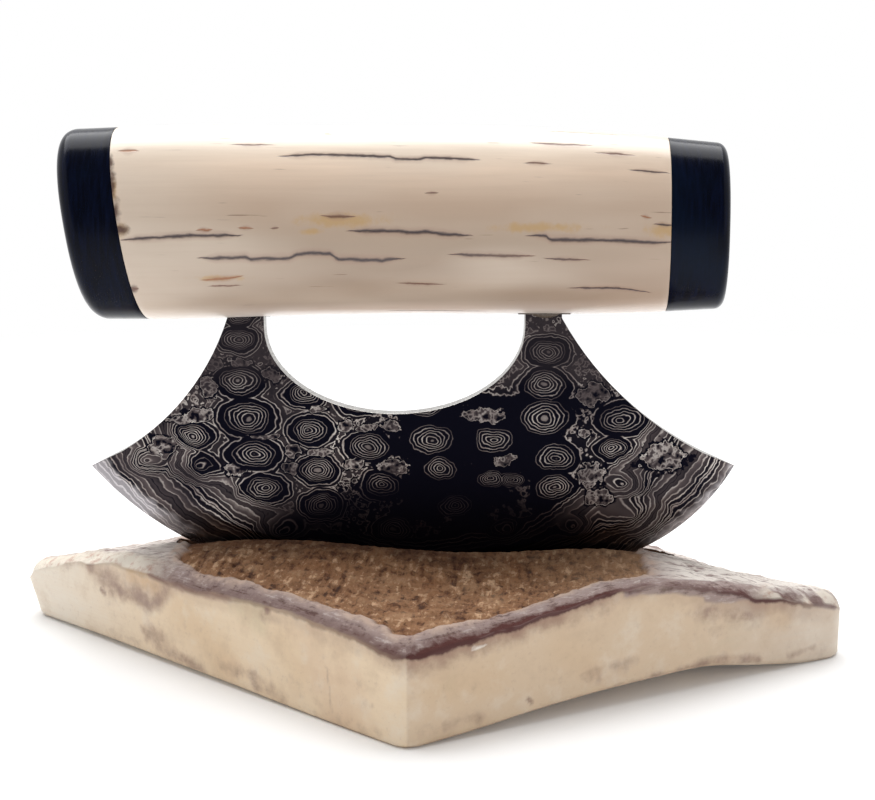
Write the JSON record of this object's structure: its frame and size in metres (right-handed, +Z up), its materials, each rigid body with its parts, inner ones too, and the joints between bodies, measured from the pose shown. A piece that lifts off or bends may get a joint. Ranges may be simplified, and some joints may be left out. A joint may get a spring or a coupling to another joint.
{
  "type": "ulu knife on stand",
  "caption": "Half-moon knife with a cross handle over a finger opening, standing upright in a slotted lozenge-shaped bone stand.",
  "frame": {"origin": "on the table, under the middle of the stand; the blade's middle plane is Y = 0", "axes": "+X along the handle to the right, -Y towards the viewer, +Z up"},
  "size_m": [0.1586, 0.1054, 0.0976],
  "materials": {
    "pattern_welded_steel": "etched, dark with bright lines",
    "ivory": "polished",
    "black_horn": "polished",
    "bone": "sawn and worn smooth, spongy on top",
    "brass_rod": "satin",
    "tan_epoxy": "satin"
  },
  "bodies": {
    "stand": {"stand_slab": "bone"},
    "knife": {"blade": "pattern_welded_steel", "handle_barrel": "ivory", "left_end_cap": "black_horn", "right_end_cap": "black_horn", "left_cap_dowel_upper": "brass_rod", "left_cap_dowel_lower": "brass_rod", "right_cap_dowel_upper": "brass_rod", "right_cap_dowel_lower": "brass_rod", "left_tang_bedding": "tan_epoxy", "right_tang_bedding": "tan_epoxy"}
  },
  "joints": [
    {"name": "knife_lift", "type": "slide", "parent": "stand", "child": "knife", "axis": [0, 0, 1], "range_m": [0, 0.06]}
  ]
}
